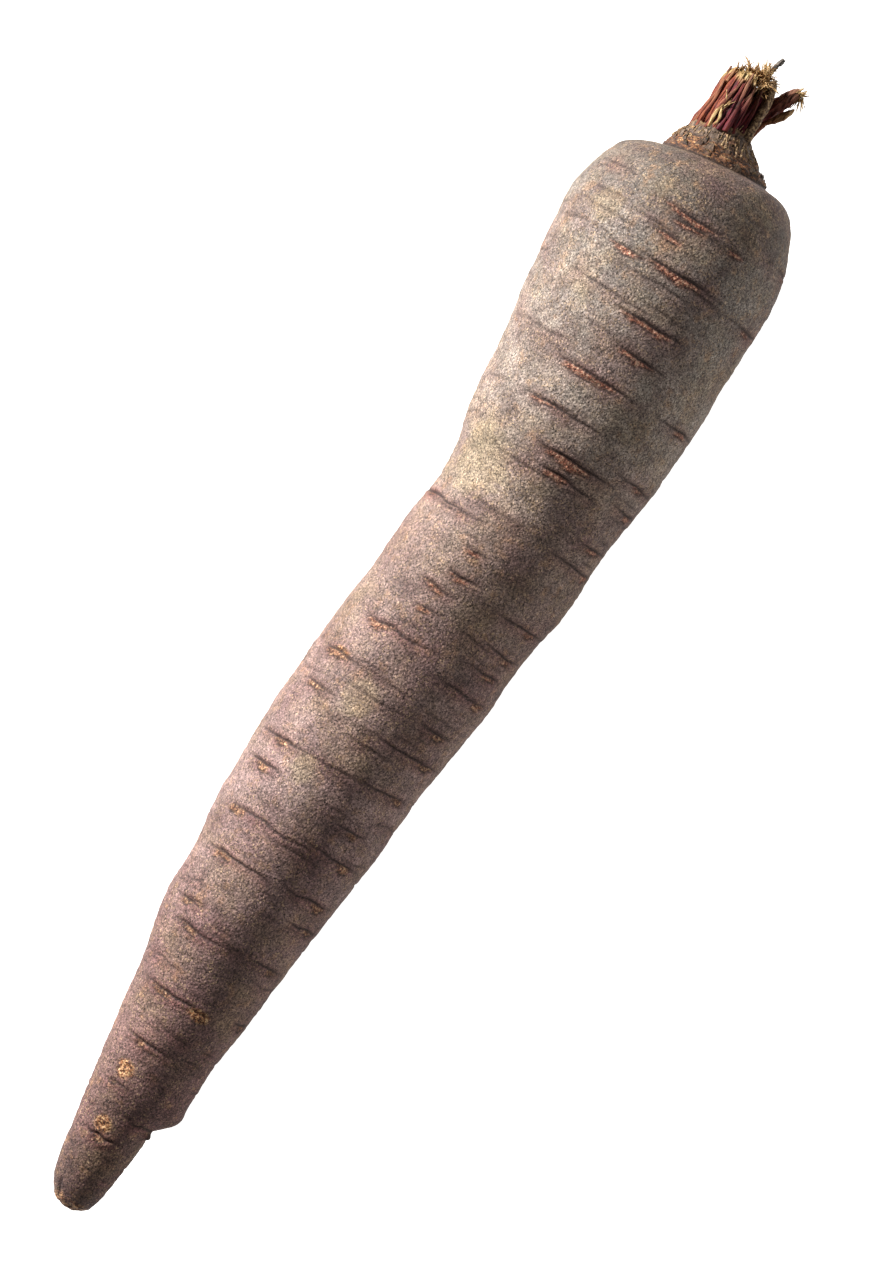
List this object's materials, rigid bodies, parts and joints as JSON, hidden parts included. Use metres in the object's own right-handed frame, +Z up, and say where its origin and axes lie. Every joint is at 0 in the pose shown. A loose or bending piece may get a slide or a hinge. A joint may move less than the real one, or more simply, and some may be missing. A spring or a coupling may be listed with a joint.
{
  "type": "purple carrot",
  "caption": "Whole purple carrot lying on its side: a long tapering root with a rounded shoulder, a scaly collar and the dried stubs of its leaf stalks.",
  "frame": {"origin": "middle of the carrot's bounding box in X and Y, on the surface that the root lies on", "axes": "+X along the root from tip to crown, +Y to the side that the neck leans to, +Z up from the surface"},
  "size_m": [0.2442, 0.0432, 0.0421],
  "materials": {
    "root_skin": "matte grey-purple root skin with fine brown speckle and corky cross scars",
    "red_stalk": "dried ribbed leaf stalk, crimson to copper",
    "dry_stalk": "dry straw-coloured and grey-brown fibre"
  },
  "bodies": {
    "root": {"taproot": "root_skin", "leaf_stalk_left": "red_stalk", "leaf_stalk_middle": "red_stalk", "leaf_stalk_right": "red_stalk", "leaf_stalk_back_right": "red_stalk", "leaf_stalk_back_left": "red_stalk", "heart_stalks": "dry_stalk", "thin_stalk": "dry_stalk", "bent_stalk": "red_stalk", "curled_shred": "dry_stalk", "grey_stub": "dry_stalk"}
  },
  "joints": []
}
